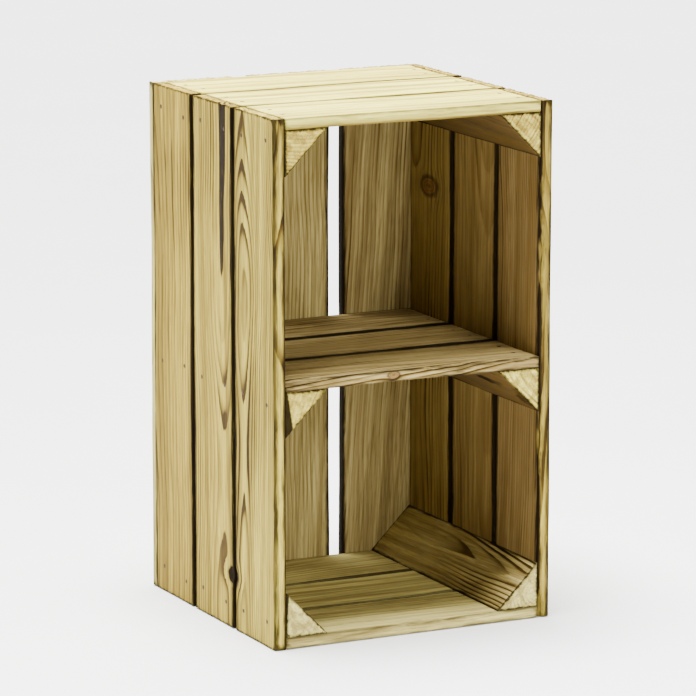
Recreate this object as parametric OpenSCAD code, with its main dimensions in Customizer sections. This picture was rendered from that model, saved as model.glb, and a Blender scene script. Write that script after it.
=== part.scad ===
// Upright apple crate: an open-fronted box of nailed pine boards with one shelf.
// It stands on its short end. X runs left to right, Y runs from the open front to the
// back, and Z is up. The origin is the middle of the footprint, on the ground.

/* [Crate] */
// Outer width, left to right
crate_w = 290; // [250:5:340]
// Outer depth, front to back
crate_d = 280; // [240:5:340]
// Outer height
crate_h = 500; // [420:5:600]
// Height of the middle of the shelf
shelf_z = 250; // [200:5:310]

/* [Boards] */
// Thickness of the upright side boards
side_t = 12; // [9:0.5:16]
// Thickness of the boards in the top, the shelf and the base
panel_t = 11; // [9:0.5:16]
// Thickness of the back boards
back_t = 10; // [8:0.5:14]
// Gap between neighbouring boards in the sides, top, shelf and base
board_gap = 4.5; // [1:0.5:8]
// Open gap between neighbouring back boards
back_gap = 14.5; // [6:0.5:24]

/* [Posts] */
// Short side of a three-cornered post
post_leg = 45; // [38:1:52]
// Width of the flat along each sharp edge of a post
post_flat = 1.5; // [0.5:0.5:3]

/* [Nails] */
// Length of a nail
nail_len = 30; // [26:1:32]
// Diameter of a nail's shank
shank_d = 1.8; // [1.4:0.1:2.4]
// Diameter of a nail's head
head_d = 3.8; // [3:0.2:5]
// Thickness of a nail's head
head_t = 0.8; // [0.5:0.1:1.2]
// Depth of a nail's head below the wood's surface
head_sink = 0.2; // [0.1:0.1:0.6]
// Distance of the nails in the sides from the face of the nearest panel
side_nail_bite = 12; // [10:1:15]
// Distance of the nails in the panels from the inside of the sides
panel_nail_bite = 12; // [10:1:15]
// Distance of a side or back nail from the middle of its board
nail_spread = 26; // [24:1:28]
// Distance of a panel nail from the middle of its board
panel_nail_spread = 16; // [14:1:17]
// How far a nail strays from its line
nail_stray = 2; // [0:0.5:2]

/* [Hidden] */
BOARDS = 3;                                 // boards in each side, panel and back
FRONT = 0;                                  // places of the boards in a side or a panel
MIDDLE = 1;
BACK = 2;
BASE = 0;                                   // the three levels of panels
SHELF = 1;
TOP = 2;
LEFT = -1;                                  // sides, as signs of X
RIGHT = 1;

half_w = crate_w / 2;
front_y = -crate_d / 2;
back_y = crate_d / 2 - back_t;              // inner face of the back boards
inner_x = half_w - side_t;                  // inner face of the right side
inner_d = back_y - front_y;
board_w = (inner_d - (BOARDS - 1) * board_gap) / BOARDS;
back_board_w = (crate_w - (BOARDS - 1) * back_gap) / BOARDS;
panel_z = [0, shelf_z - panel_t / 2, crate_h - panel_t];      // undersides of the panels
side_nail_z = [
    panel_t + side_nail_bite,
    panel_z[SHELF] - side_nail_bite,
    panel_z[TOP] - side_nail_bite
];
point_len = 2 * shank_d;                    // the nail's point
head_space = head_sink + head_t;
over = 1;                                   // how far a cutter stands out of the wood
$fn = 24;

side_colour = "#d8c88f";
panel_colour = "#c9b57c";
back_colour = "#b39a62";
post_colour = "#dccd98";
nail_colour = "#6d6a64";

// Where boards and nails sit
function board_y(i) = front_y + i * (board_w + board_gap);
function board_mid(i) = board_y(i) + board_w / 2;
function back_board_x(i) = -half_w + i * (back_board_w + back_gap);
function back_board_mid(i) = back_board_x(i) + back_board_w / 2;
function stray(level, i, k) = nail_stray * sin(151 * (6 * level + 2 * i + k) + 40);

// One nail with its head just under z = 0 and its point downwards, and the hole it makes
module nail() {
    translate([0, 0, -head_space])
        cylinder(h = head_t, d = head_d);
    translate([0, 0, point_len - nail_len])
        cylinder(h = nail_len - point_len - head_space, d = shank_d);
    translate([0, 0, -nail_len])
        cylinder(h = point_len, d1 = shank_d / 4, d2 = shank_d);
}

module nail_hole() {
    translate([0, 0, -head_space])
        cylinder(h = head_space + over, d = head_d);
    translate([0, 0, -nail_len])
        cylinder(h = nail_len, d = shank_d);
}

// The three ways in which nails are driven; children() is one nail or one hole
module along_side(side, level, i) {
    for (k = [0, 1])
        translate([side * half_w, board_mid(i) + (2 * k - 1) * nail_spread,
                   side_nail_z[level] + stray(level, i, k)])
            rotate([0, side * 90, 0])
                children();
}

module along_back(level, i) {
    for (k = [0, 1])
        translate([back_board_mid(i) + (2 * k - 1) * nail_spread, crate_d / 2,
                   panel_z[level] + panel_t / 2])
            rotate([-90, 0, 0])
                children();
}

module along_panel(level, side, i) {
    face_z = level == BASE ? 0 : panel_z[level] + panel_t;
    turn = level == BASE ? 180 : 0;
    for (k = [0, 1])
        translate([side * (inner_x - panel_nail_bite + stray(level, i, k)),
                   board_mid(i) + (2 * k - 1) * panel_nail_spread, face_z])
            rotate([turn, 0, 0])
                children();
}

// Boards
module side_board(side, i) {
    color(side_colour)
        difference() {
            translate([side == LEFT ? -half_w : inner_x, board_y(i), 0])
                cube([side_t, board_w, crate_h]);
            for (level = [BASE, SHELF, TOP])
                along_side(side, level, i) nail_hole();
        }
}

module back_board(i) {
    color(back_colour)
        difference() {
            translate([back_board_x(i), back_y, 0])
                cube([back_board_w, back_t, crate_h]);
            for (level = [BASE, SHELF, TOP])
                along_back(level, i) nail_hole();
        }
}

module panel_board(level, i) {
    color(panel_colour)
        difference() {
            translate([-inner_x, board_y(i), panel_z[level]])
                cube([2 * inner_x, board_w, panel_t]);
            for (side = [LEFT, RIGHT])
                along_panel(level, side, i) nail_hole();
            if (i == BACK)
                for (j = [0 : BOARDS - 1])
                    along_back(level, j) nail_hole();
        }
}

// Three-cornered posts: the square corner sits against a side and a panel
module post_section() {
    polygon([
        [0, 0],
        [post_leg - post_flat, 0],
        [post_leg - post_flat, post_flat],
        [post_flat, post_leg - post_flat],
        [0, post_leg - post_flat]
    ]);
}

module post(side, level) {
    corner_z = level == BASE ? panel_t : panel_z[level];
    up = level == BASE ? 1 : -1;
    color(post_colour)
        difference() {
            translate([side * inner_x, back_y, corner_z])
                scale([-side, 1, up])
                    rotate([90, 0, 0])
                        linear_extrude(height = inner_d)
                            post_section();
            for (i = [FRONT, MIDDLE, BACK]) {
                along_side(side, level, i) nail_hole();
                along_panel(level, side, i) nail_hole();
            }
        }
}

// Nails
module side_nails(side) {
    color(nail_colour)
        for (level = [BASE, SHELF, TOP], i = [FRONT, MIDDLE, BACK])
            along_side(side, level, i) nail();
}

module back_nails() {
    color(nail_colour)
        for (level = [BASE, SHELF, TOP], i = [0 : BOARDS - 1])
            along_back(level, i) nail();
}

module panel_nails(level) {
    color(nail_colour)
        for (side = [LEFT, RIGHT], i = [FRONT, MIDDLE, BACK])
            along_panel(level, side, i) nail();
}

side_board(LEFT, FRONT);  // side_board_left_front
side_board(LEFT, MIDDLE);  // side_board_left_middle
side_board(LEFT, BACK);  // side_board_left_back
side_board(RIGHT, FRONT);  // side_board_right_front
side_board(RIGHT, MIDDLE);  // side_board_right_middle
side_board(RIGHT, BACK);  // side_board_right_back
back_board(0);  // back_board_left
back_board(1);  // back_board_centre
back_board(2);  // back_board_right
panel_board(TOP, FRONT);  // top_board_front
panel_board(TOP, MIDDLE);  // top_board_middle
panel_board(TOP, BACK);  // top_board_back
panel_board(SHELF, FRONT);  // shelf_board_front
panel_board(SHELF, MIDDLE);  // shelf_board_middle
panel_board(SHELF, BACK);  // shelf_board_back
panel_board(BASE, FRONT);  // base_board_front
panel_board(BASE, MIDDLE);  // base_board_middle
panel_board(BASE, BACK);  // base_board_back
post(LEFT, TOP);  // corner_post_top_left
post(RIGHT, TOP);  // corner_post_top_right
post(LEFT, SHELF);  // shelf_cleat_left
post(RIGHT, SHELF);  // shelf_cleat_right
post(LEFT, BASE);  // corner_post_base_left
post(RIGHT, BASE);  // corner_post_base_right
side_nails(LEFT);  // nails_left_side
side_nails(RIGHT);  // nails_right_side
back_nails();  // nails_back
panel_nails(TOP);  // nails_top
panel_nails(SHELF);  // nails_shelf
panel_nails(BASE);  // nails_base
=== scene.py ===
"""Upright apple crate of flamed pine: boards, posts, nails, their finishes and a plain stage.

Everything is built around the loaded frame, in metres. Each board or post is modelled at the
place of its node, keeps its place in its own mesh, and carries what its wood needs to know:
where each point lies in the log, how near it is to an arris, and how hard the flame caught it.
"""

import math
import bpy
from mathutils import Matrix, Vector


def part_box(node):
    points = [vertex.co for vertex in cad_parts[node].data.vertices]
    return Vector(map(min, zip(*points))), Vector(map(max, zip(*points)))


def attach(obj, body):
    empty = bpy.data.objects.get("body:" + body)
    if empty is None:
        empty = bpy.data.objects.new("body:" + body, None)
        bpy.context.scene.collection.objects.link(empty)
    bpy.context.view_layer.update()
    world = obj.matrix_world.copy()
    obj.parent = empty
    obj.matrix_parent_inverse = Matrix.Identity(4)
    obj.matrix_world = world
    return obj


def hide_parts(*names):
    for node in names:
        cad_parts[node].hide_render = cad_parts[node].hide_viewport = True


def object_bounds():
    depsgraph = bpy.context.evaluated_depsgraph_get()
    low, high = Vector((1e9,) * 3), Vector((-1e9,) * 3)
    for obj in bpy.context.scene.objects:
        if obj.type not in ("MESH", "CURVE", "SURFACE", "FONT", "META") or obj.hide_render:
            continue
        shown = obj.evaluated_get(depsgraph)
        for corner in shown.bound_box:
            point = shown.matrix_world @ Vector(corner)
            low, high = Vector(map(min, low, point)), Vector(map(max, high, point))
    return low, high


bl_info = {
    "name": "Flamed pine apple crate",
    "version": (1, 0, 0),
    "blender": (4, 5, 0),
    "location": "View3D > Sidebar > Crate",
    "description": "Builds the boards, posts, nails and stage of an upright apple crate",
    "category": "Add Mesh",
}

import bpy
import numpy as np
from bpy.props import FloatProperty, FloatVectorProperty, PointerProperty
from bpy.types import Operator, Panel, PropertyGroup
from mathutils import Vector

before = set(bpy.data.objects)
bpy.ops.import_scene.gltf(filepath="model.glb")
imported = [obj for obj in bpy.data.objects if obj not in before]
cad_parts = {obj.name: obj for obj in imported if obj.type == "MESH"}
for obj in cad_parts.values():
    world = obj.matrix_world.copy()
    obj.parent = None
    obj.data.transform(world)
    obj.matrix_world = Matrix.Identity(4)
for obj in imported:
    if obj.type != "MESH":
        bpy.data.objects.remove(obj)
CAD_BOX = [list(corner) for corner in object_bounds()]
NODES = sorted(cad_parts)
BODY = "root"
MIDDLE = np.mean(CAD_BOX, axis=0)
X, Y, Z = 0, 1, 2

KNOT_SQUASH = 0.62         # a branch cut aslant shows longer than broad, by one over this
KNOT_REACH = 1.7           # how far the grain bends round a knot, in its radii
KNOT_PUSH = 0.9            # how strongly the knot pushes it aside
BEHIND_SKIN = 0.0015       # how deep a knot in an edge keeps its size
BOARD_STEPS = (0.0018, 0.0030, 0.0062)        # between points across, through and along a board
POST_STEP = 0.0050         # between points along a post
SAME_HEAD = 0.006          # points nearer than this lie on one nail head
LEVEL = 1e-5               # places that differ by less are the same


# ---------------------------------------------------------------- how each piece was sawn

class Knot:
    """A branch cut through: its place across the board, its place along, its radius, how much the
    cut is drawn out across the board, and whether the branch is dead and burnt out. One that
    shows in an edge has its place through the board instead, and edge is where that edge lies
    across."""

    def __init__(self, place, along, radius, wide=1.0, edge=None, dead=False):
        self.place = place
        self.along = along
        self.radius = radius
        self.wide = wide
        self.edge = edge
        self.dead = dead

    def offset(self, own):
        """How far each point lies from the branch, beside it and along, as if it were round."""
        if self.edge is None:
            beside = own[:, 0] - self.place
        else:
            beside = own[:, 1] - self.place
            sunk = np.clip(np.abs(own[:, 0] - self.edge) - BEHIND_SKIN, 0, None)
            beside = np.where(beside > 0, beside + 3 * sunk, beside - 3 * sunk)
        further = own[:, 2] - self.along
        return beside / self.wide, further * KNOT_SQUASH * self.wide

    def side(self, cut):
        """Which side of the pith the branch grew on."""
        pith = cut.across if self.edge is None else cut.depth
        return 1.0 if self.place > pith else -1.0


NO_KNOT = Knot(9.0, 9.0, 0.001)      # a knot that lies nowhere near its board


class Cut:
    """How a piece lay in its log and what happened to it. Distances are in metres.

    across and depth place the pith from the piece's middle, drift is how far it strays sideways
    in a metre, heave how far it snakes from end to end, and ring the width of a year ring.
    scorch is how hard the flame caught the grain. tone and inside are how pale the wood is,
    outside and in the crate: 1 is light, 0 is dark brown, and below 0 it darkens further towards
    black. Where inside is lower than tone it is painted shade: the inner faces are painted as dark
    as the shade they lie in, most of all on the right wall and the right post's and cleat's slopes.
    shown is "arches" where the grain stands out only where it arches, "slope" where it is weak
    on a post's sawn end, and "front" where it also fades towards the back.
    wane names the arris that was sawn near the bark and how deep the wane bites, bark is how
    broad a strip of bark stayed on a post beside its side board, and singed is how far a
    board's inner face is blackened from its free edge."""

    def __init__(self, across, depth, drift=0.02, ring=0.0045, knots=(), scorch=1.0, tone=0.5,
                 inside=None, heave=0.004, shown="all", wane=None, bark=0.0, singed=0.0):
        self.across = across
        self.depth = depth
        self.drift = drift
        self.heave = heave
        self.ring = ring
        self.knots = knots
        self.scorch = scorch
        self.tone = tone
        self.inside = tone if inside is None else inside
        self.shown = shown
        self.wane = wane
        self.bark = bark
        self.singed = singed


# Inside tones lower than tone are painted shade on the crate's inner faces: darkest on the right
# wall, and below 0 on the right post's and right cleat's slopes.
CUTS = {
    "side_board_left_back": Cut(
        0.070, 0.060, 0.03, 0.0050, scorch=1.1, tone=0.50, inside=0.30, singed=0.004),
    "side_board_left_middle": Cut(
        -0.022, 0.019, -0.030, 0.0046, [Knot(-0.0400, -0.198, 0.0060, wide=1.35, dead=True)],
        scorch=1.8, tone=0.56, inside=0.30, heave=0.006, shown="arches"),
    "side_board_left_front": Cut(
        0.024, 0.0163, 0.030, 0.0038, [Knot(0.0475, -0.198, 0.0060, wide=1.35, dead=True)],
        scorch=1.8, tone=0.62, inside=0.30, heave=-0.007, shown="arches", singed=0.005),
    "side_board_right_front": Cut(
        0.095, -0.060, 0.03, 0.0040, scorch=1.2, tone=0.55, inside=0.05,
        wane=("inside_front", 0.0036), singed=0.011),
    "side_board_right_middle": Cut(
        -0.030, -0.060, 0.03, 0.0050, scorch=0.8, tone=0.52, inside=0.10),
    "side_board_right_back": Cut(
        0.030, -0.030, 0.02, 0.0055, [Knot(0.002, 0.135, 0.0095, wide=1.7)], scorch=1.0, tone=0.50,
        inside=0.16),
    "back_board_left": Cut(0.150, 0.030, 0.01, 0.0040, scorch=0.8, tone=1.0, heave=0.002),
    "back_board_centre": Cut(0.110, 0.060, -0.03, 0.0036, scorch=1.0, tone=0.62, heave=0.003),
    "back_board_right": Cut(-0.110, 0.040, -0.08, 0.0042, scorch=1.2, tone=0.48),
    "top_board_front": Cut(0.090, -0.050, 0.03, 0.0060, scorch=0.6, tone=1.0, inside=0.35),
    "top_board_middle": Cut(-0.100, -0.040, 0.03, 0.0060, scorch=0.6, tone=1.0, inside=0.35),
    "top_board_back": Cut(0.060, -0.050, 0.05, 0.0060, scorch=0.6, tone=0.94, inside=0.35),
    "shelf_board_front": Cut(
        -0.080, -0.050, 0.09, 0.0040, [Knot(0.0012, -0.021, 0.0036, edge=-0.0435)], scorch=1.4,
        tone=0.50, wane=("top_front", 0.0042)),
    "shelf_board_middle": Cut(0.080, -0.040, 0.05, 0.0048, scorch=1.3, tone=0.46),
    "shelf_board_back": Cut(-0.040, -0.050, 0.05, 0.0050, scorch=1.2, tone=0.42),
    "base_board_front": Cut(
        0.110, -0.030, 0.05, 0.0045, scorch=0.9, tone=0.95, wane=("top_front", 0.0024)),
    "base_board_middle": Cut(-0.060, -0.050, 0.04, 0.0052, scorch=0.7, tone=1.0),
    "base_board_back": Cut(
        0.050, -0.045, -0.04, 0.0055, [Knot(0.012, -0.035, 0.0030)], scorch=0.9, tone=0.88),
    "corner_post_top_left": Cut(
        0.004, 0.120, 0.02, 0.0036, scorch=0.9, tone=0.62, inside=0.45, bark=0.0012),
    "corner_post_top_right": Cut(
        -0.060, 0.060, 0.03, 0.0034, scorch=2.2, tone=0.74, inside=-0.75, shown="slope"),
    "shelf_cleat_left": Cut(
        0.100, -0.025, 0.03, 0.0040, scorch=0.7, tone=0.70, inside=0.45, bark=0.0090),
    "shelf_cleat_right": Cut(
        0.070, 0.060, 0.05, 0.0050, scorch=2.2, tone=0.92, inside=-0.72, shown="slope"),
    "corner_post_base_left": Cut(
        0.060, 0.060, 0.03, 0.0060, scorch=0.2, tone=1.0, inside=0.50, bark=0.0030),
    "corner_post_base_right": Cut(
        0.019, -0.002, 0.045, 0.0036, scorch=2.5, tone=1.0, inside=0.60, heave=0.002,
        shown="front"),
}


# ---------------------------------------------------------------- settings

def a_number(name, description, default, **more):
    return FloatProperty(name=name, description=description, default=default, **more)


def a_length(name, description, default, least, most):
    return a_number(name, description, default, unit="LENGTH", min=least, max=most)


def a_colour(name, description, default):
    return FloatVectorProperty(name=name, description=description, subtype="COLOR", size=3,
                               default=default)


class CrateWoodSettings(PropertyGroup):
    # This dark brown is real smoke browning on a few darker outer faces, and painted shade on the
    # crate's inner faces, whose inside tones lie near 0.
    smoked_and_shaded: a_colour("Smoked wood", "Early wood the smoke has browned", (0.220, 0.145, 0.060))
    pale: a_colour("Early wood", "Pale wood between the grain lines", (0.47, 0.351, 0.056))
    light: a_colour("Light board", "Early wood of the palest boards", (0.80, 0.715, 0.150))
    grey: a_colour("Greyed wood", "Early wood greyed by dust and age", (0.46, 0.390, 0.28))
    line: a_colour("Late wood", "Flamed grain lines", (0.098, 0.056, 0.010))
    # This near black is real burning along arrises, seams and knots, and painted shade on the right
    # post's and right cleat's slopes, whose inside tones are below 0.
    char: a_colour("Char and shade", "Wood burnt dark along arrises and seams", (0.007, 0.0040, 0.0016))
    knot: a_colour("Knot", "Heart of a knot", (0.15, 0.068, 0.016))
    arris: a_length("Arris", "Rounding of the sawn edges", 0.0009, 0.0003, 0.003)
    wander: a_length("Wander", "How far a sawn edge strays from straight", 0.0006, 0.0, 0.002)
    relief: a_length("Relief", "Depth of the brushed early wood", 0.00016, 0.0, 0.001)


class CrateNailSettings(PropertyGroup):
    steel: a_colour("Steel", "Nail heads dulled by the flame", (0.042, 0.033, 0.024))
    hole_ease: a_length("Hole ease", "Room around a nail head in its hole", 0.0004, 0.0001, 0.001)


class CrateStageSettings(PropertyGroup):
    azimuth: a_number("Azimuth", "Camera's turn from the crate's open front",
                      math.radians(-26.3), subtype="ANGLE")
    elevation: a_number("Elevation", "Camera's height above level",
                        math.radians(11.4), subtype="ANGLE")
    distance: a_length("Distance", "Camera to the middle of the crate", 4.35, 1.0, 12.0)
    lens: a_number("Lens", "Focal length in millimetres", 234.0)
    floor: a_colour("Floor", "Colour of the floor", (0.86, 0.86, 0.85))
    sky: a_number("Sky", "Strength of the light all around", 0.18)
    backdrop: a_number("Backdrop", "How bright the surroundings look", 4.3)
    top_strength: a_number("Top light", "Strength of the soft light overhead", 16.0)
    roof_power: a_number("Roof light", "Power of the lamp above the crate", 32.0, unit="POWER")
    key_power: a_number("Key light", "Power of the light on the left", 10.0, unit="POWER")
    fill_power: a_number("Fill light", "Power of the light in front", 100.0, unit="POWER")


# ---------------------------------------------------------------- mesh helpers

def mode(name):
    bpy.ops.object.mode_set(mode=name)


def settle():
    """Moves the place, turn and scale of the object in hand into its mesh."""
    bpy.ops.object.transform_apply(location=True, rotation=True, scale=True)


def deselect_all():
    if bpy.context.object and bpy.context.object.mode != "OBJECT":
        mode("OBJECT")
    bpy.ops.object.select_all(action="DESELECT")


def take(pieces):
    """Selects these objects alone, the first as the active one."""
    deselect_all()
    for piece in pieces:
        piece.select_set(True)
    bpy.context.view_layer.objects.active = pieces[0]


def points(mesh):
    """All vertices of a mesh, as rows."""
    flat = np.empty(len(mesh.vertices) * 3)
    mesh.vertices.foreach_get("co", flat)
    return flat.reshape(-1, 3)


def put_points(mesh, rows):
    mesh.vertices.foreach_set("co", rows.ravel())
    mesh.update()


def block(name, low, high):
    """A box from its corners, with its place in its mesh."""
    deselect_all()
    bpy.ops.mesh.primitive_cube_add(size=1, location=(low + high) / 2, scale=high - low)
    settle()
    piece = bpy.context.object
    piece.name = name
    piece.data.name = name
    return piece


def pick_edges(piece, wanted):
    """Selects the edges for which wanted(starts, ends) is true, and stays in edit mode."""
    mode("EDIT")
    bpy.ops.mesh.select_mode(type="EDGE")
    bpy.ops.mesh.select_all(action="DESELECT")
    mode("OBJECT")
    mesh = piece.data
    ends = np.empty(len(mesh.edges) * 2, dtype=int)
    mesh.edges.foreach_get("vertices", ends)
    ends = ends.reshape(-1, 2)
    rows = points(mesh)
    mesh.edges.foreach_set("select", wanted(rows[ends[:, 0]], rows[ends[:, 1]]))
    mode("EDIT")


def round_arrises(wood):
    bpy.ops.mesh.bevel(offset=wood.arris, segments=2, affect="EDGES", profile=0.5)
    mode("OBJECT")


def runs_along(axis, shortest):
    """A test for edges that keep to one axis and are at least so long."""
    def test(starts, ends):
        span = np.abs(ends - starts)
        others = np.delete(span, axis, axis=1).max(axis=1)
        return (span[:, axis] > shortest) & (others < 0.2 * span[:, axis])
    return test


def cut_up(piece, axis, step, shortest):
    """Divides the edges along an axis into pieces of about one step."""
    pick_edges(piece, runs_along(axis, shortest))
    span = np.ptp(points(piece.data)[:, axis])
    bpy.ops.mesh.subdivide(number_cuts=max(1, min(99, round(span / step) - 1)))
    mode("OBJECT")


def apply_all(piece):
    take([piece])
    for modifier in list(piece.modifiers):
        bpy.ops.object.modifier_apply(modifier=modifier.name)


def unevenness(piece, size, strength):
    """Presses the surface slightly in and out, as planed boards are."""
    texture = bpy.data.textures.new("planing", "CLOUDS")
    texture.noise_scale = size
    modifier = piece.modifiers.new("planing", "DISPLACE")
    modifier.texture = texture
    modifier.texture_coords = "LOCAL"
    modifier.strength = strength
    modifier.mid_level = 0.5


def finish_piece(piece, node, material):
    """Smooth flats, sharp arrises, a finish, and its place in the frame."""
    take([piece])
    bpy.ops.object.shade_smooth_by_angle(angle=math.radians(32))
    piece.data.materials.clear()
    piece.data.materials.append(material)
    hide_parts(node)
    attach(piece, BODY)


# ---------------------------------------------------------------- wood in the mesh

class Lie:
    """How a piece lies: its middle, its half sizes and its own axes (across, depth, along)."""

    def __init__(self, node, across, depth, along):
        self.low, self.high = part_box(node)
        self.middle = np.array((self.low + self.high) / 2)
        self.half = np.array((self.high - self.low) / 2)
        self.axes = (across, depth, along)
        self.seed = NODES.index(node)

    def local(self, rows):
        """The points as (across, depth, along) from the piece's middle."""
        return (rows - self.middle)[:, self.axes]

    def world(self, own):
        """The points back from local."""
        rows = np.empty_like(own)
        rows[:, self.axes] = own
        return rows + self.middle

    def half_sizes(self):
        return self.half[list(self.axes)]


def waves(t, seed, lengths=(0.43, 0.24, 0.13)):
    """A smooth line between about -1 and 1 that differs for each seed."""
    out = np.zeros_like(t)
    for k, length in enumerate(lengths):
        out += np.sin(2 * np.pi * t / length + 2.4 * seed + 1.7 * k * seed) / (1 + k)
    return out / 1.5


def ring_count(own, cut, seed):
    """Which year ring each point lies in, counted from the pith and not rounded."""
    across, depth, along = own.T
    pith_across = cut.across + 0.0030 * waves(along, seed + 3)
    pith_depth = cut.depth + cut.drift * along + cut.heave * waves(along, seed + 7, (0.47, 0.27))
    radius = np.hypot(across - pith_across, depth - pith_depth)
    return radius / cut.ring


def late_wood(rings):
    """How far a point lies in a ring's hard dark part, from 0 to 1."""
    part = rings % 1.0
    rise = np.clip((part - 0.35) / 0.5, 0, 1)
    return rise ** 2 * np.clip((1.0 - part) / 0.12, 0, 1)


def around_knots(own, rings, cut):
    """The rings bent around each knot, as in the shader."""
    for knot in cut.knots:
        beside, along = knot.offset(own)
        reach = np.hypot(beside, along) / knot.radius
        bend = np.exp(-(reach / KNOT_REACH) ** 2)
        rings = rings - KNOT_PUSH * knot.side(cut) * beside / cut.ring * bend
    return rings


def store(mesh, name, kind, values):
    attribute = mesh.attributes.new(name, kind, "POINT")
    field = "vector" if kind == "FLOAT_VECTOR" else "value"
    attribute.data.foreach_set(field, np.ascontiguousarray(values, dtype=np.float32).ravel())


def second_smallest(distances):
    return np.sort(distances, axis=1)[:, 1]


def write_wood(piece, lie, cut, rim, seam, inner):
    """Stores on each point what the wood's material reads. inner is 1 on faces inside the crate."""
    own = lie.local(points(piece.data))
    knots = (list(cut.knots) + [NO_KNOT, NO_KNOT])[:2]
    mesh = piece.data
    store(mesh, "rings", "FLOAT", ring_count(own, cut, lie.seed))
    fibre = own + np.array([0.37, 0.71, 1.13]) * (lie.seed + 1)
    fibre[:, 0] += cut.drift * own[:, 2]
    store(mesh, "fibre", "FLOAT_VECTOR", fibre)
    store(mesh, "rim", "FLOAT", rim)
    store(mesh, "seam", "FLOAT", seam)
    scorch = np.full(len(own), cut.scorch)
    if cut.shown == "arches":
        scorch *= 0.5 + 0.7 * np.exp(-((own[:, 0] - cut.across) / 0.017) ** 2)
    elif cut.shown == "slope":
        scorch *= 0.3 + 0.7 * inner
    elif cut.shown == "front":
        scorch *= np.clip(0.45 - own[:, 2] / 0.10, 0.12, 1) * (0.15 + 0.85 * inner)
    # Inner faces take the inside tone, which paints the shade inside the crate into their colour.
    tone = cut.tone + (cut.inside - cut.tone) * inner
    store(mesh, "look", "FLOAT_VECTOR", np.column_stack((tone, scorch, tone * 0 + cut.ring)))
    for name, knot in zip(("knot_one", "knot_two"), knots):
        beside, along = knot.offset(own)
        size = np.full(len(own), -knot.radius if knot.dead else knot.radius)
        store(mesh, name, "FLOAT_VECTOR",
              np.column_stack((knot.side(cut) * beside, along, size)))


def weather(piece, lie, cut, wood):
    """Moves the points of a sawn piece: crooked edges, a slight cup and bow, brushed grain."""
    own = lie.local(points(piece.data))
    across, depth, along = own.T.copy()
    half_across, half_depth, half_along = lie.half_sizes()
    seed = lie.seed
    edge = across / half_across
    face = depth / half_depth
    end = along / half_along
    moved = own.copy()
    moved[:, 0] += wood.wander * edge * (waves(along, seed + np.sign(edge) * 2) - 0.5)
    moved[:, 1] += 0.0005 * waves(along, seed + 5, (0.42, 0.23)) * (1 - end ** 2)
    moved[:, 1] -= 0.0003 * np.sign(cut.depth) * (edge ** 2 - 0.4)
    saw = waves(across, seed + 9, (0.021, 0.0091, 0.0043))
    saw += 0.6 * face * np.sin(40 * across / half_across)
    moved[:, 2] -= np.where(np.abs(end) > 0.985, np.sign(end) * 0.00035 * (1 + saw), 0.0)
    rings = around_knots(own, ring_count(own, cut, seed), cut)
    moved[:, 1] -= face ** 3 * wood.relief * (1 - late_wood(rings))
    for knot in cut.knots:
        beside, further = knot.offset(own)
        swell = 0.0005 * np.exp(-(np.hypot(beside, further) / knot.radius / 1.1) ** 2)
        if knot.edge is None:
            moved[:, 1] += face * swell * (-4 if knot.dead else 1)
        else:
            moved[:, 0] += edge ** 9 * swell
    put_points(piece.data, lie.world(moved))


def drill(piece, heads, radius, axis):
    """Sinks a round hole at each nail head that lies on this piece."""
    rows = points(piece.data)
    low = rows.min(axis=0) - 0.002
    high = rows.max(axis=0) + 0.002
    here = [head for head in heads if np.all(head > low) and np.all(head < high)]
    if not here:
        return
    cutters = []
    for head in here:
        deselect_all()
        bpy.ops.mesh.primitive_cylinder_add(vertices=14, radius=radius, depth=0.008, location=head)
        if axis != Z:
            turn = (0, math.pi / 2, 0) if axis == X else (math.pi / 2, 0, 0)
            bpy.context.object.rotation_euler = turn
        settle()
        cutters.append(bpy.context.object)
    take(cutters)
    if len(cutters) > 1:
        bpy.ops.object.join()
    cutter = bpy.context.object
    modifier = piece.modifiers.new("nail holes", "BOOLEAN")
    modifier.operation = "DIFFERENCE"
    modifier.solver = "EXACT"
    modifier.object = cutter
    apply_all(piece)
    bpy.data.objects.remove(cutter)


# ---------------------------------------------------------------- nails in the frame

NAIL_SETS = {                        # the way the heads face, as axis and sign
    "nails_left_side": (X, -1),
    "nails_right_side": (X, 1),
    "nails_back": (Y, 1),
    "nails_top": (Z, 1),
    "nails_shelf": (Z, 1),
    "nails_base": (Z, -1),
}


def nail_heads(node):
    """The middle of each nail head's outer face, read from the frame."""
    axis, sign = NAIL_SETS[node]
    rows = points(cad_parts[node].data)
    height = sign * rows[:, axis]
    tops = rows[height > height.max() - LEVEL]
    groups = []
    for row in tops:
        for group in groups:
            if np.linalg.norm(group[0] - row) < SAME_HEAD:
                group.append(row)
                break
        else:
            groups.append([row])
    return [(np.min(group, axis=0) + np.max(group, axis=0)) / 2 for group in groups]


def head_radius():
    """Half the width of a nail head, from the set of nails on the top."""
    rows = points(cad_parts["nails_top"].data)
    tops = rows[rows[:, Z] > rows[:, Z].max() - LEVEL]
    first = tops[np.linalg.norm(tops - tops[0], axis=1) < SAME_HEAD]
    return np.ptp(first[:, X]) / 2


# ---------------------------------------------------------------- boards and posts

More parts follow.
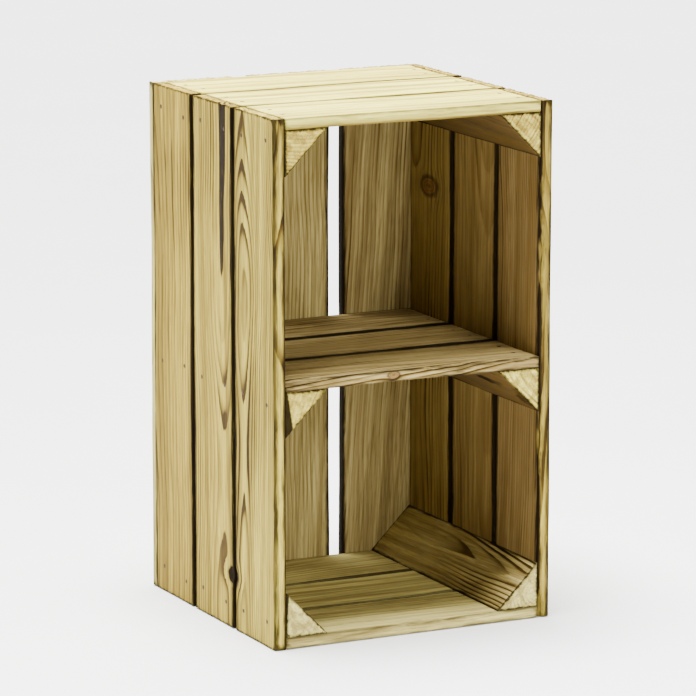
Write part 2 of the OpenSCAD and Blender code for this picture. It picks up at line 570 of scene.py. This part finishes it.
def shape_board(node, across, depth, along, seams, reach, wood, nail_sets):
    """A sawn board of one node. seams are the signs of the edges that face another board, and
    reach is how far the flame blackened the board from such an edge."""
    cut = CUTS[node]
    lie = Lie(node, across, depth, along)
    piece = block(node + "_wood", lie.low, lie.high)
    pick_edges(piece, lambda starts, ends: np.full(len(starts), True))
    round_arrises(wood)
    cut_up(piece, along, BOARD_STEPS[2], 0.05)
    cut_up(piece, across, BOARD_STEPS[0], 0.02)
    cut_up(piece, depth, BOARD_STEPS[1], 0.004)
    unevenness(piece, 0.05, 0.0004)
    apply_all(piece)
    weather(piece, lie, cut, wood)
    if cut.wane:
        wane_off(piece, lie, cut)
    for nail_set in nail_sets:
        axis = NAIL_SETS[nail_set][0]
        drill(piece, nail_heads(nail_set), head_radius() + crate_settings().nails.hole_ease, axis)
    own = lie.local(points(piece.data))
    half = lie.half_sizes()
    rim = second_smallest(half - np.abs(own))
    seam = np.zeros(len(own))
    if cut.wane:
        seam = 0.42 * np.clip(1 - wane_gap(own, half, cut) / 0.0005, 0, 1)
    for sign in seams:
        seam = np.maximum(seam, np.clip(1 - (half[0] - sign * own[:, 0]) / reach, 0, 1))
    # inner marks the face within the crate. It takes the inside tone, which is painted shade, and
    # the singed band.
    inward = -np.sign((lie.middle - MIDDLE)[depth])
    inner = np.clip(1.3 - (half[1] - inward * own[:, 1]) / 0.0020, 0, 1)
    if cut.singed:
        edge_gap = half[0] + seams[0] * own[:, 0]
        rim *= np.clip(edge_gap / 0.004, 0.5, 1)
        seam = np.maximum(seam, 1.1 * inner * np.clip(1 - edge_gap / cut.singed, 0, 1))
    write_wood(piece, lie, cut, rim, seam, inner)
    return piece


def wane_face(cut):
    """The sign of the face that the wane lies on."""
    return 1 if cut.wane[0] == "top_front" else -1


def wane_bite(along, cut):
    """How deep the wane bites at each place along the piece."""
    wave = waves(along, 100 * cut.across, (0.19, 0.083, 0.031))
    return cut.wane[1] * np.clip(0.25 + 0.75 * wave, 0, 1)


def wane_gap(own, half, cut):
    """The distance from each point down to the waney surface."""
    bite = wane_bite(own[:, 2], cut)
    edge_gap = half[0] + own[:, 0]
    face_gap = half[1] - wane_face(cut) * own[:, 1]
    return np.where(bite > 0.0004, 0.5 * (edge_gap + face_gap) - bite, 1.0)


def wane_off(piece, lie, cut):
    """Eats an uneven strip off a long front arris, as where a board was sawn near the bark."""
    own = lie.local(points(piece.data))
    pull = np.clip(-wane_gap(own, lie.half_sizes(), cut), 0, None)
    own[:, 0] += pull
    own[:, 1] -= wane_face(cut) * 0.7 * pull
    put_points(piece.data, lie.world(own))


def shape_post(node, wood):
    """A three-cornered post: a square bar whose free corner is pushed in to the slope."""
    cut = CUTS[node]
    lie = Lie(node, X, Z, Y)
    sides = np.array([-1 if node.endswith("left") else 1, 0, 1])
    sides[2] = -1 if "base" in node else 1            # signs of the faces that touch the crate
    piece = block(node + "_wood", lie.low, lie.high)
    corner = lie.middle - sides * lie.half
    rows = points(piece.data)
    free = (np.abs(rows[:, X] - corner[X]) < LEVEL) & (np.abs(rows[:, Z] - corner[Z]) < LEVEL)
    mode("EDIT")
    bpy.ops.mesh.select_mode(type="VERT")
    bpy.ops.mesh.select_all(action="DESELECT")
    mode("OBJECT")
    piece.data.vertices.foreach_set("select", free)
    mode("EDIT")
    bpy.ops.transform.translate(value=tuple(sides * lie.half))
    mode("OBJECT")

    def sharp(starts, ends):
        off = (starts + ends) / 2 - lie.middle
        return np.hypot(off[:, X], off[:, Z]) > 1e-4

    pick_edges(piece, sharp)
    round_arrises(wood)
    cut_up(piece, Y, POST_STEP, 0.05)
    pick_edges(piece, lambda starts, ends: np.linalg.norm(ends - starts, axis=1) > 0.012)
    bpy.ops.mesh.subdivide(number_cuts=11)
    mode("OBJECT")
    unevenness(piece, 0.04, 0.0005)
    apply_all(piece)
    weather_post(piece, lie, cut, sides, wood)
    gaps = post_gaps(points(piece.data), lie, sides)
    bark = cut.bark * (0.2 + 0.8 * gaps[:, 1] / (2 * lie.half[Z]))
    seam = np.clip(0.5 + (bark - gaps[:, 0]) / 0.003, 0, 1.4) * (cut.bark > 0)
    # All but the front end takes the inside tone: painted shade on the slope and faces within the
    # crate.
    behind_front = np.clip(gaps[:, 3] / 0.0010 - 0.3, 0, 1)
    write_wood(piece, lie, cut, second_smallest(gaps), seam, behind_front)
    return piece


def post_gaps(rows, lie, sides):
    """Each point's distance from the post's five faces."""
    off = rows - lie.middle
    to_side = lie.half[X] - sides[X] * off[:, X]
    to_panel = lie.half[Z] - sides[2] * off[:, Z]
    to_slope = (sides[X] * off[:, X] + sides[2] * off[:, Z]) / math.sqrt(2)
    to_front = lie.half[Y] + off[:, Y]
    to_back = lie.half[Y] - off[:, Y]
    return np.abs(np.column_stack((to_side, to_panel, to_slope, to_front, to_back)))


def weather_post(piece, lie, cut, sides, wood):
    """Brushes the slope's grain and leaves the front end as the saw did."""
    rows = points(piece.data)
    own = lie.local(rows)
    gaps = post_gaps(rows, lie, sides)
    rings = around_knots(own, ring_count(own, cut, lie.seed), cut)
    brushed = np.exp(-(gaps[:, 2] / 0.002) ** 2) * wood.relief * 1.6 * (1 - late_wood(rings))
    inward = np.array([sides[X], 0, sides[2]]) / math.sqrt(2)
    rows += brushed[:, None] * inward
    at_front = np.exp(-(gaps[:, 3] / 0.001) ** 2)
    rows[:, Y] += at_front * 0.0003 * (1 + waves(own[:, 0] + own[:, 1], lie.seed, (0.011, 0.005)))
    put_points(piece.data, rows)


# ---------------------------------------------------------------- finishes

def crate_settings():
    return bpy.context.scene.crate


class Wiring:
    """Adds nodes to a tree and links them, so that a recipe reads as a list of steps."""

    def __init__(self, tree):
        self.tree = tree

    def node(self, kind, **settings):
        made = self.tree.nodes.new(kind)
        for name, value in settings.items():
            setattr(made, name, value)
        return made

    def feed(self, socket, value):
        if isinstance(value, bpy.types.NodeSocket):
            self.tree.links.new(value, socket)
        elif value is not None:
            socket.default_value = value

    def math(self, operation, first, second=None, third=None, clamp=False):
        made = self.node("ShaderNodeMath", operation=operation, use_clamp=clamp)
        for socket, value in zip(made.inputs, (first, second, third)):
            self.feed(socket, value)
        return made.outputs[0]

    def times(self, first, second, clamp=False):
        return self.math("MULTIPLY", first, second, clamp=clamp)

    def plus(self, first, second, clamp=False):
        return self.math("ADD", first, second, clamp=clamp)

    def scaled(self, value, factor, shift, clamp=False):
        return self.math("MULTIPLY_ADD", value, factor, shift, clamp)

    def most(self, first, second):
        return self.math("MAXIMUM", first, second)

    def stretch(self, vector, scale):
        made = self.node("ShaderNodeVectorMath", operation="MULTIPLY")
        self.feed(made.inputs[0], vector)
        made.inputs[1].default_value = scale
        return made.outputs[0]

    def noise(self, vector, scale, detail=2.0, roughness=0.5, distortion=0.0):
        made = self.node("ShaderNodeTexNoise")
        self.feed(made.inputs["Vector"], self.stretch(vector, scale))
        made.inputs["Scale"].default_value = 1.0
        made.inputs["Detail"].default_value = detail
        made.inputs["Roughness"].default_value = roughness
        made.inputs["Distortion"].default_value = distortion
        return made.outputs["Fac"]

    def ramp(self, value, low, high, out_low=0.0, out_high=1.0):
        made = self.node("ShaderNodeMapRange", interpolation_type="SMOOTHSTEP")
        for socket, number in zip(made.inputs, (value, low, high, out_low, out_high)):
            self.feed(socket, number)
        return made.outputs[0]

    def mix(self, share, first, second):
        made = self.node("ShaderNodeMix", data_type="RGBA")
        self.feed(made.inputs["Factor"], share)
        self.feed(made.inputs["A"], first)
        self.feed(made.inputs["B"], second)
        return made.outputs["Result"]

    def parts(self, vector):
        made = self.node("ShaderNodeSeparateXYZ")
        self.feed(made.inputs[0], vector)
        return made.outputs

    def bump(self, height, strength, distance):
        made = self.node("ShaderNodeBump")
        made.inputs["Strength"].default_value = strength
        made.inputs["Distance"].default_value = distance
        self.feed(made.inputs["Height"], height)
        return made.outputs["Normal"]

    def attribute(self, name, output="Fac"):
        made = self.node("ShaderNodeAttribute", attribute_name=name, attribute_type="GEOMETRY")
        return made.outputs[output]


def new_group(name, inputs, outputs):
    """An empty node group with sockets given as (name, kind, default)."""
    group = bpy.data.node_groups.new(name, "ShaderNodeTree")
    for direction, sockets in (("INPUT", inputs), ("OUTPUT", outputs)):
        for label, kind, value in sockets:
            made = group.interface.new_socket(label, in_out=direction, socket_type=kind)
            if value is not None:
                made.default_value = value
    wiring = Wiring(group)
    entry = wiring.node("NodeGroupInput")
    leave = wiring.node("NodeGroupOutput")
    return group, wiring, entry.outputs, leave.inputs


FLOAT, COLOUR, VECTOR = "NodeSocketFloat", "NodeSocketColor", "NodeSocketVector"


def knot_group():
    """Bends the rings around one knot and marks its heart and its dark skin."""
    group, w, given, out = new_group(
        "Knot in pine",
        [("Place", VECTOR, None), ("Rings", FLOAT, 0.0), ("Ring width", FLOAT, 0.005),
         ("Fibre", VECTOR, None)],
        [("Rings", FLOAT, None), ("Heart", FLOAT, None), ("Skin", FLOAT, None),
         ("Burnt", FLOAT, None)],
    )
    across, along, size = w.parts(given["Place"])
    radius = w.math("ABSOLUTE", size)
    flat = w.math("SQRT", w.plus(w.times(across, across), w.times(along, along)))
    reach = w.math("DIVIDE", flat, radius)
    ragged = w.noise(given["Fibre"], (260.0, 260.0, 160.0), 2.0)
    reach = w.plus(reach, w.times(w.math("SUBTRACT", ragged, 0.5), 0.45))
    spread = w.math("DIVIDE", reach, KNOT_REACH)
    fade = w.math("EXPONENT", w.times(w.times(spread, spread), -1.0))
    push = w.times(w.math("DIVIDE", across, given["Ring width"]), fade)
    w.feed(out["Rings"], w.math("SUBTRACT", given["Rings"], w.times(push, KNOT_PUSH)))
    heart = w.ramp(reach, 1.08, 0.86)
    w.feed(out["Heart"], heart)
    rings_in_knot = w.ramp(w.math("FRACT", w.times(reach, 3.2)), 0.3, 1.0, 0.0, 0.60)
    rings_in_knot = w.most(rings_in_knot, w.ramp(reach, 0.32, 0.05, 0.0, 0.8))
    skin = w.times(w.ramp(reach, 0.74, 0.96), w.ramp(reach, 1.50, 1.04))
    alive = w.most(skin, w.times(rings_in_knot, heart))
    w.feed(out["Skin"], w.times(alive, 0.64))
    w.feed(out["Burnt"], w.times(w.math("LESS_THAN", size, 0.0), w.ramp(reach, 1.25, 1.0)))
    return group


def grain_group(knot):
    """Early and late wood from the ring count: colour, roughness and height of flamed pine."""
    group, w, given, out = new_group(
        "Flamed grain",
        [("Smoked and shaded", COLOUR, None), ("Pale", COLOUR, None), ("Light", COLOUR, None),
         ("Grey", COLOUR, None), ("Greyed", FLOAT, 0.0), ("Line", COLOUR, None),
         ("Char and shade", COLOUR, None), ("Knot", COLOUR, None),
         ("Line strength", FLOAT, 1.0), ("Edge burn", FLOAT, 1.0), ("Patches", FLOAT, 1.0)],
        [("Color", COLOUR, None), ("Roughness", FLOAT, None), ("Height", FLOAT, None)],
    )
    fibre = w.attribute("fibre", "Vector")
    rings = w.attribute("rings")
    tone, scorch, ring_width = w.parts(w.attribute("look", "Vector"))
    hearts, skins, burnt = [], [], []
    for name in ("knot_one", "knot_two"):
        bend = w.node("ShaderNodeGroup", node_tree=knot)
        w.feed(bend.inputs["Place"], w.attribute(name, "Vector"))
        w.feed(bend.inputs["Rings"], rings)
        w.feed(bend.inputs["Ring width"], ring_width)
        w.feed(bend.inputs["Fibre"], fibre)
        rings = bend.outputs["Rings"]
        hearts.append(bend.outputs["Heart"])
        skins.append(bend.outputs["Skin"])
        burnt.append(bend.outputs["Burnt"])
    heart = w.most(hearts[0], hearts[1])
    skin = w.most(skins[0], skins[1])

    sway = w.noise(fibre, (40.0, 40.0, 3.5), 2.0)
    ripple = w.noise(fibre, (420.0, 420.0, 14.0), 2.0)
    rings = w.plus(rings, w.times(w.math("SUBTRACT", sway, 0.5), 0.9))
    rings = w.plus(rings, w.times(w.math("SUBTRACT", ripple, 0.5), 0.14))
    part = w.math("FRACT", rings)
    late = w.times(w.ramp(part, 0.30, 0.90), w.ramp(part, 1.0, 0.93))
    year = w.node("ShaderNodeTexWhiteNoise", noise_dimensions="1D")
    w.feed(year.inputs["W"], w.math("FLOOR", rings))
    late = w.times(late, w.scaled(year.outputs["Value"], 0.75, 0.35))

    streaks = w.noise(fibre, (700.0, 700.0, 17.0), 3.0, 0.6)
    flecks = w.noise(fibre, (460.0, 460.0, 50.0), 2.0)
    pores = w.noise(fibre, (2600.0, 2600.0, 90.0), 2.0)
    clouds = w.noise(fibre, (16.0, 16.0, 4.5), 3.0, 0.55, 0.4)
    flame = w.ramp(clouds, 0.38, 0.66)
    burn = w.times(w.scaled(flame, 0.75, 0.45), scorch)
    line = w.times(w.times(late, burn), given["Line strength"], clamp=True)

    bands = w.ramp(w.noise(fibre, (110.0, 110.0, 1.5), 3.0, 0.6), 0.38, 0.64)
    blush = w.ramp(w.noise(fibre, (70.0, 70.0, 2.5), 2.0), 0.50, 0.72)
    # Tones below 0 darken on towards near black: painted shade, used only on the right post's and
    # right cleat's slopes within the crate.
    darkened = w.mix(w.times(tone, -1.0, clamp=True), given["Smoked and shaded"], given["Char and shade"])
    darker = w.mix(w.times(tone, 2.0, clamp=True), darkened, given["Pale"])
    ground = w.mix(w.scaled(tone, 2.0, -1.0, clamp=True), darker, given["Light"])
    ground = w.mix(given["Greyed"], ground, given["Grey"])
    blushed = w.mix(w.times(blush, 0.22), ground, given["Knot"])
    banded = w.mix(w.times(bands, 0.54), blushed, given["Line"])
    tan = w.mix(w.times(w.times(flame, given["Patches"]), 0.22), banded, given["Line"])
    fine = w.math("MINIMUM", w.scaled(scorch, 0.26, 0.20), 0.48)
    streaked = w.mix(w.times(w.ramp(streaks, 0.42, 0.68), fine), tan, given["Line"])
    lined = w.mix(line, streaked, given["Line"])
    depth = w.plus(w.times(flame, 0.5), w.scaled(scorch, 0.35, -0.30, clamp=True), clamp=True)
    deep = w.mix(w.times(w.ramp(line, 0.50, 1.0), depth), lined, given["Char and shade"])
    flecked = w.mix(w.times(w.ramp(flecks, 0.54, 0.74), 0.30), deep, given["Line"])
    dotted = w.mix(w.times(w.ramp(pores, 0.56, 0.75), 0.18), flecked, given["Line"])
    cored = w.mix(w.times(heart, 0.62), dotted, given["Knot"])
    skinned = w.mix(skin, cored, given["Char and shade"])

    ragged = w.noise(fibre, (300.0, 300.0, 34.0), 3.0, 0.6)
    patchy = w.noise(fibre, (30.0, 30.0, 14.0), 2.0)
    rim = w.plus(w.attribute("rim"), w.scaled(ragged, 0.0044, -0.0022))
    arris = w.times(w.ramp(rim, 0.0028, 0.0006), w.ramp(patchy, 0.34, 0.56, 0.78, 1.0))
    seam = w.plus(w.attribute("seam"), w.scaled(ragged, 1.0, -0.5))
    black = w.most(w.times(arris, 0.95), w.ramp(seam, 0.10, 0.80))
    black = w.most(black, w.most(burnt[0], burnt[1]))
    black = w.times(w.times(black, given["Edge burn"]), 0.98, clamp=True)
    w.feed(out["Color"], w.mix(black, skinned, given["Char and shade"]))

    rough = w.scaled(line, -0.12, 0.70)
    rough = w.plus(rough, w.scaled(streaks, 0.16, -0.08))
    w.feed(out["Roughness"], w.plus(rough, w.times(black, 0.10)))
    height = w.scaled(late, 0.6, w.times(streaks, 0.5))
    height = w.plus(height, w.times(pores, -0.22))
    w.feed(out["Height"], w.plus(height, w.times(heart, 0.4)))
    return group


def principled(name):
    """A new material and its wiring, shader and output."""
    material = bpy.data.materials.new(name)
    material.use_nodes = True
    tree = material.node_tree
    tree.nodes.clear()
    wiring = Wiring(tree)
    shader = wiring.node("ShaderNodeBsdfPrincipled")
    leave = wiring.node("ShaderNodeOutputMaterial")
    tree.links.new(shader.outputs["BSDF"], leave.inputs["Surface"])
    return material, wiring, shader


def wood_material(name, line_strength, edge_burn, patches, greyed=0.0):
    """Flamed pine with its own strength of grain, burnt edges, scorched patches and greying."""
    if name in bpy.data.materials:
        return bpy.data.materials[name]
    wood = crate_settings().wood
    grain = bpy.data.node_groups.get("Flamed grain") or grain_group(knot_group())
    material, w, shader = principled(name)
    made = w.node("ShaderNodeGroup", node_tree=grain)
    for label, colour in (("Smoked and shaded", wood.smoked_and_shaded), ("Pale", wood.pale), ("Light", wood.light),
                          ("Grey", wood.grey), ("Line", wood.line), ("Char and shade", wood.char),
                          ("Knot", wood.knot)):
        made.inputs[label].default_value = (*colour, 1.0)
    for label, value in (("Line strength", line_strength), ("Edge burn", edge_burn),
                         ("Patches", patches), ("Greyed", greyed)):
        made.inputs[label].default_value = value
    w.feed(shader.inputs["Base Color"], made.outputs["Color"])
    w.feed(shader.inputs["Roughness"], made.outputs["Roughness"])
    shader.inputs["Specular IOR Level"].default_value = 0.03
    w.feed(shader.inputs["Normal"], w.bump(made.outputs["Height"], 0.55, 0.00035))
    return material


def nail_material():
    """Dull steel, browned and spotted by the flame."""
    material, w, shader = principled("Flamed_nail_steel")
    place = w.node("ShaderNodeTexCoord").outputs["Object"]
    spots = w.noise(place, (1400.0, 1400.0, 1400.0), 3.0, 0.6)
    soot = w.noise(place, (160.0, 160.0, 160.0), 1.0)
    steel = (*crate_settings().nails.steel, 1.0)
    rust = w.mix(w.ramp(spots, 0.42, 0.66), steel, (0.085, 0.040, 0.016, 1.0))
    darkened = w.mix(w.ramp(soot, 0.4, 0.7, 0.0, 0.7), rust, (0.02, 0.016, 0.013, 1.0))
    w.feed(shader.inputs["Base Color"], darkened)
    w.feed(shader.inputs["Metallic"], w.ramp(spots, 0.66, 0.40, 0.05, 0.25))
    w.feed(shader.inputs["Roughness"], w.ramp(spots, 0.3, 0.7, 0.55, 0.80))
    shader.inputs["Specular IOR Level"].default_value = 0.2
    w.feed(shader.inputs["Normal"], w.bump(spots, 0.4, 0.0001))
    return material


# ---------------------------------------------------------------- operators

# The boards of a row, with the signs of the edges at which each meets the next one.
ROW_OF_BOARDS = (("front", (1,)), ("middle", (-1, 1)), ("back", (-1,)))


class CRATE_OT_side_boards(Operator):
    """Model the three upright boards of each side"""
    bl_idname = "crate.side_boards"
    bl_label = "Side boards"

    def execute(self, context):
        wood = context.scene.crate.wood
        finish = wood_material("Flamed_pine_sides", 1.0, 1.0, 0.7)
        for side in ("left", "right"):
            for place, seams in ROW_OF_BOARDS:
                node = f"side_board_{side}_{place}"
                piece = shape_board(node, Y, X, Z, seams, 0.0062, wood, [f"nails_{side}_side"])
                finish_piece(piece, node, finish)
        return {"FINISHED"}


class CRATE_OT_back_boards(Operator):
    """Model the three upright boards of the slatted back"""
    bl_idname = "crate.back_boards"
    bl_label = "Back boards"

    def execute(self, context):
        wood = context.scene.crate.wood
        finish = wood_material("Flamed_pine_back", 0.85, 1.0, 0.9, 0.36)
        for place, seams in (("left", (1,)), ("centre", (-1, 1)), ("right", (-1,))):
            node = f"back_board_{place}"
            piece = shape_board(node, X, Y, Z, seams, 0.0060, wood, ["nails_back"])
            finish_piece(piece, node, finish)
        return {"FINISHED"}


class CRATE_OT_panel_boards(Operator):
    """Model the boards of the top, the shelf and the base"""
    bl_idname = "crate.panel_boards"
    bl_label = "Top, shelf and base boards"

    def execute(self, context):
        wood = context.scene.crate.wood
        for level, reach, burn, greyed in (("top", 0.0030, 0.65, 0.0), ("shelf", 0.0085, 1.0, 0.4),
                                           ("base", 0.0035, 0.8, 0.38)):
            finish = wood_material(f"Flamed_pine_{level}", 0.75, burn, 0.8, greyed)
            for place, seams in ROW_OF_BOARDS:
                node = f"{level}_board_{place}"
                piece = shape_board(node, Y, Z, X, seams, reach, wood, [f"nails_{level}"])
                finish_piece(piece, node, finish)
        return {"FINISHED"}


class CRATE_OT_posts(Operator):
    """Model the three-cornered posts and shelf cleats"""
    bl_idname = "crate.posts"
    bl_label = "Posts and cleats"

    def execute(self, context):
        wood = context.scene.crate.wood
        finish = wood_material("Flamed_pine_posts", 1.1, 1.0, 0.5)
        dusty = wood_material("Flamed_pine_base_posts", 1.1, 1.0, 0.3, 0.34)
        for node in NODES:
            if "post" in node or "cleat" in node:
                worn = dusty if "base" in node else finish
                finish_piece(shape_post(node, wood), node, worn)
        return {"FINISHED"}


class CRATE_OT_nails(Operator):
    """Model one nail and set a copy of it in every nail hole"""
    bl_idname = "crate.nails"
    bl_label = "Nails"

    def execute(self, context):
        material = nail_material()
        radius = head_radius()
        for node, (axis, sign) in NAIL_SETS.items():
            low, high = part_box(node)
            length = 0.9 * (high - low)[axis]
            copies = []
            for head in nail_heads(node):
                copies.append(self.nail(head, radius, length, axis, sign))
            take(copies)
            bpy.ops.object.join()
            piece = context.object
            piece.name = node + "_steel"
            piece.data.name = piece.name
            finish_piece(piece, node, material)
        return {"FINISHED"}

    @staticmethod
    def nail(head, radius, length, axis, sign):
        """A nail with a thin domed head, its top at the point given, driven against its axis."""
        deselect_all()
        bpy.ops.mesh.primitive_cylinder_add(vertices=16, radius=radius, depth=0.0008,
                                            location=(0, 0, -0.0004))
        settle()
        mode("EDIT")
        bpy.ops.mesh.select_mode(type="FACE")
        dome = ((0.0005, 0.00010), (0.0006, 0.00005))
        neck = ((radius * 0.53, 0.0),)
        for up, steps in ((1, dome), (-1, neck)):
            bpy.ops.mesh.select_all(action="DESELECT")
            mode("OBJECT")
            mesh = bpy.context.object.data
            for face in mesh.polygons:
                face.select = face.normal.z * up > 0.9
            mode("EDIT")
            for inset, rise in steps:
                bpy.ops.mesh.inset(thickness=inset)
                bpy.ops.transform.translate(value=(0, 0, rise))
        bpy.ops.mesh.extrude_region_move(TRANSFORM_OT_translate={"value": (0, 0, -0.85 * length)})
        bpy.ops.mesh.extrude_region_move(TRANSFORM_OT_translate={"value": (0, 0, -0.12 * length)})
        bpy.ops.transform.resize(value=(0.2, 0.2, 1))
        mode("OBJECT")
        nail = bpy.context.object
        if axis == X:
            nail.rotation_euler = (0, sign * math.pi / 2, 0)
        elif axis == Y:
            nail.rotation_euler = (-sign * math.pi / 2, 0, 0)
        elif sign < 0:
            nail.rotation_euler = (math.pi, 0, 0)
        nail.location = head
        settle()
        return nail


class CRATE_OT_stage(Operator):
    """Set the floor, the lights, the surroundings and the camera"""
    bl_idname = "crate.stage"
    bl_label = "Stage"

    def execute(self, context):
        stage = context.scene.crate.stage
        low, high = (Vector(corner) for corner in CAD_BOX)
        middle = (low + high) / 2
        self.floor(stage, low.z)
        self.sky(stage)
        for name, kind, place, size, power in (
            ("Top light", "SUN", (-0.3, 0.1, 3.0), math.radians(35), stage.top_strength),
            ("Roof light", "AREA", (0.0, 0.1, 1.40), 0.5, stage.roof_power),
            ("Key light", "AREA", (-2.6, 0.35, 0.9), 1.5, stage.key_power),
            ("Fill light", "AREA", (0.6, -3.1, 1.30), 1.5, stage.fill_power),
        ):
            self.light(name, kind, place, middle, size, power)
        self.camera(stage, middle)
        return {"FINISHED"}

    @staticmethod
    def floor(stage, height):
        deselect_all()
        bpy.ops.mesh.primitive_plane_add(size=60, location=(0, 0, height - 0.0005))
        settle()
        floor = bpy.context.object
        floor.name = "floor"
        material, w, shader = principled("Pale_floor")
        place = w.node("ShaderNodeTexCoord").outputs["Object"]
        mottle = w.noise(place, (3.0, 3.0, 3.0), 3.0)
        colour = (*stage.floor, 1.0)
        darker = tuple(0.97 * c for c in stage.floor) + (1.0,)
        w.feed(shader.inputs["Base Color"], w.mix(w.ramp(mottle, 0.3, 0.7), colour, darker))
        shader.inputs["Roughness"].default_value = 0.75
        floor.data.materials.append(material)

    @staticmethod
    def sky(stage):
        world = bpy.data.worlds.new("Studio")
        bpy.context.scene.world = world
        world.use_nodes = True
        tree = world.node_tree
        tree.nodes.clear()
        w = Wiring(tree)
        blend = w.node("ShaderNodeMixShader")
        w.feed(blend.inputs["Fac"], w.node("ShaderNodeLightPath").outputs["Is Camera Ray"])
        for place, strength in ((1, stage.sky), (2, stage.backdrop)):
            background = w.node("ShaderNodeBackground")
            background.inputs["Color"].default_value = (1.0, 1.0, 1.0, 1.0)
            background.inputs["Strength"].default_value = strength
            w.feed(blend.inputs[place], background.outputs["Background"])
        w.feed(w.node("ShaderNodeOutputWorld").inputs["Surface"], blend.outputs["Shader"])

    @staticmethod
    def light(name, kind, place, aim, size, power):
        data = bpy.data.lights.new(name, kind)
        if kind == "SUN":
            data.angle = size
        else:
            data.shape = "DISK"
            data.size = size
        data.energy = power
        lamp = bpy.data.objects.new(name, data)
        bpy.context.scene.collection.objects.link(lamp)
        lamp.location = place
        lamp.rotation_euler = (Vector(aim) - Vector(place)).to_track_quat("-Z", "Y").to_euler()

    @staticmethod
    def camera(stage, middle):
        back = Vector((
            math.sin(stage.azimuth) * math.cos(stage.elevation),
            -math.cos(stage.azimuth) * math.cos(stage.elevation),
            math.sin(stage.elevation),
        ))
        data = bpy.data.cameras.new("Camera")
        data.lens = stage.lens
        camera = bpy.data.objects.new("Camera", data)
        bpy.context.scene.collection.objects.link(camera)
        camera.location = middle + back * stage.distance
        camera.rotation_euler = (-back).to_track_quat("-Z", "Y").to_euler()
        bpy.context.scene.camera = camera


class CrateSettings(PropertyGroup):
    wood: PointerProperty(type=CrateWoodSettings)
    nails: PointerProperty(type=CrateNailSettings)
    stage: PointerProperty(type=CrateStageSettings)


class CRATE_PT_panel(Panel):
    bl_idname = "CRATE_PT_panel"
    bl_label = "Apple crate"
    bl_space_type = "VIEW_3D"
    bl_region_type = "UI"
    bl_category = "Crate"

    def draw(self, context):
        layout = self.layout
        crate = context.scene.crate
        for settings in (crate.wood, crate.nails, crate.stage):
            box = layout.box()
            for name in settings.__annotations__:
                box.prop(settings, name)
        for operator in OPERATORS:
            layout.operator(operator.bl_idname)


OPERATORS = (
    CRATE_OT_stage,
    CRATE_OT_side_boards,
    CRATE_OT_back_boards,
    CRATE_OT_panel_boards,
    CRATE_OT_posts,
    CRATE_OT_nails,
)
CLASSES = (CrateWoodSettings, CrateNailSettings, CrateStageSettings, CrateSettings,
           *OPERATORS, CRATE_PT_panel)


def register():
    for cls in CLASSES:
        bpy.utils.register_class(cls)
    bpy.types.Scene.crate = PointerProperty(type=CrateSettings)


def unregister():
    del bpy.types.Scene.crate
    for cls in reversed(CLASSES):
        bpy.utils.unregister_class(cls)


def main():
    register()
    bpy.ops.crate.stage()
    bpy.ops.crate.side_boards()
    bpy.ops.crate.back_boards()
    bpy.ops.crate.panel_boards()
    bpy.ops.crate.posts()
    bpy.ops.crate.nails()


if __name__ == "__main__":
    main()
